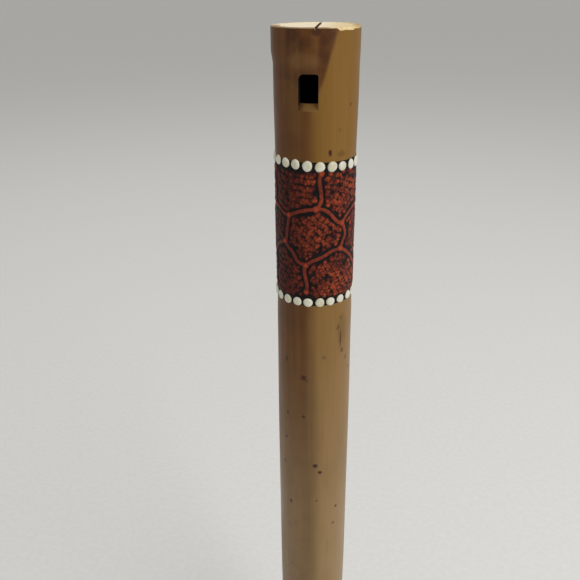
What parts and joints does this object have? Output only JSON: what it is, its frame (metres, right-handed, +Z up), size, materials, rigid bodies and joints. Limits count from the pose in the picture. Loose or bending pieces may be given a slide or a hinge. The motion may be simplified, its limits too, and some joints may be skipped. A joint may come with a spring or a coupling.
{
  "type": "bamboo slide whistle",
  "caption": "Bamboo slide whistle: duct-blown cane tube with a sound window and a painted band, and a piston on a rod that slides in it from a handle.",
  "frame": {"origin": "centre of the flat end of the handle, on which the whistle stands, with the plunger pushed fully in", "axes": "+Z up along the tube to its mouth end; the sound window faces -Y; +X is to the right of the window seen from the front"},
  "size_m": [0.0266, 0.0265, 0.3003],
  "materials": {
    "bamboo_tube": "natural bamboo skin, semi-gloss, stained darker at the mouth end",
    "bamboo_handle": "natural bamboo skin, semi-gloss",
    "block_wood": "pale cut wood, matte",
    "guide_wood": "turned wood, matte",
    "core_wood": "pale cut wood, matte",
    "piston_wood": "turned wood, matte",
    "peg_bamboo": "split bamboo, matte",
    "rod_bamboo": "scraped bamboo, satin",
    "leather": "waxed leather, satin",
    "steel": "plain wire nail",
    "black_paint": "black acrylic paint, satin",
    "red_paint": "brick-red and orange acrylic paint in relief, satin",
    "white_paint": "off-white acrylic paint in thick dots, semi-gloss"
  },
  "bodies": {
    "tube": {"tube": "bamboo_tube", "head": "bamboo_tube", "fipple_block": "block_wood", "guide_ring": "guide_wood", "guide_pegs": "peg_bamboo", "paint_band": "black_paint", "upper_dots": "white_paint", "lower_dots": "white_paint"},
    "plunger": {"plunger_rod": "rod_bamboo", "handle_sleeve": "bamboo_handle", "handle_core": "core_wood", "handle_peg": "peg_bamboo", "piston_disc": "piston_wood", "piston_washer": "leather", "piston_cap": "piston_wood", "piston_nail": "steel"}
  },
  "joints": [
    {"name": "plunger_slide", "type": "slide", "parent": "plunger", "child": "tube", "axis": [0, 0, 1], "range_m": [0, 0.17]}
  ]
}
